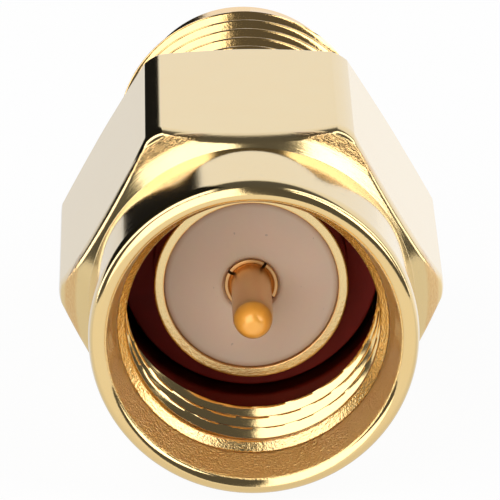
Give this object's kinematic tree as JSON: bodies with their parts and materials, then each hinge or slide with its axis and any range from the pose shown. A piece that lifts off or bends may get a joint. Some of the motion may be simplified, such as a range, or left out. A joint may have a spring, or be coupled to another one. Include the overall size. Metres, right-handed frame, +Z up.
{
  "type": "coaxial connector adapter",
  "caption": "Gold-plated coaxial adapter: plug end with a turning hexagon coupling nut and centre pin, threaded jack barrel with a centre pin behind it.",
  "frame": {"origin": "on the axis at the plug's reference plane, the front face of its ferrule", "axes": "+Y along the axis from the plug to the jack, +Z up with the adapter lying on one flat of its nut"},
  "size_m": [0.0092, 0.0172, 0.008],
  "materials": {
    "gold_plate": "polished gold plating",
    "white_bead": "smooth white fluoropolymer",
    "red_rubber": "dark red silicone",
    "ring_steel": "plain spring wire"
  },
  "bodies": {
    "body": {"adapter_body": "gold_plate", "retaining_ring": "ring_steel", "gasket": "red_rubber", "plug_insulator": "white_bead", "jack_insulator": "white_bead", "centre_contact": "gold_plate", "plug_pin": "gold_plate"},
    "nut": {"coupling_nut": "gold_plate"}
  },
  "joints": [
    {"name": "nut_turn", "type": "hinge", "parent": "body", "child": "nut", "pos_m": [0, 0.0043, 0], "axis": [0, 1, 0], "continuous": true}
  ]
}
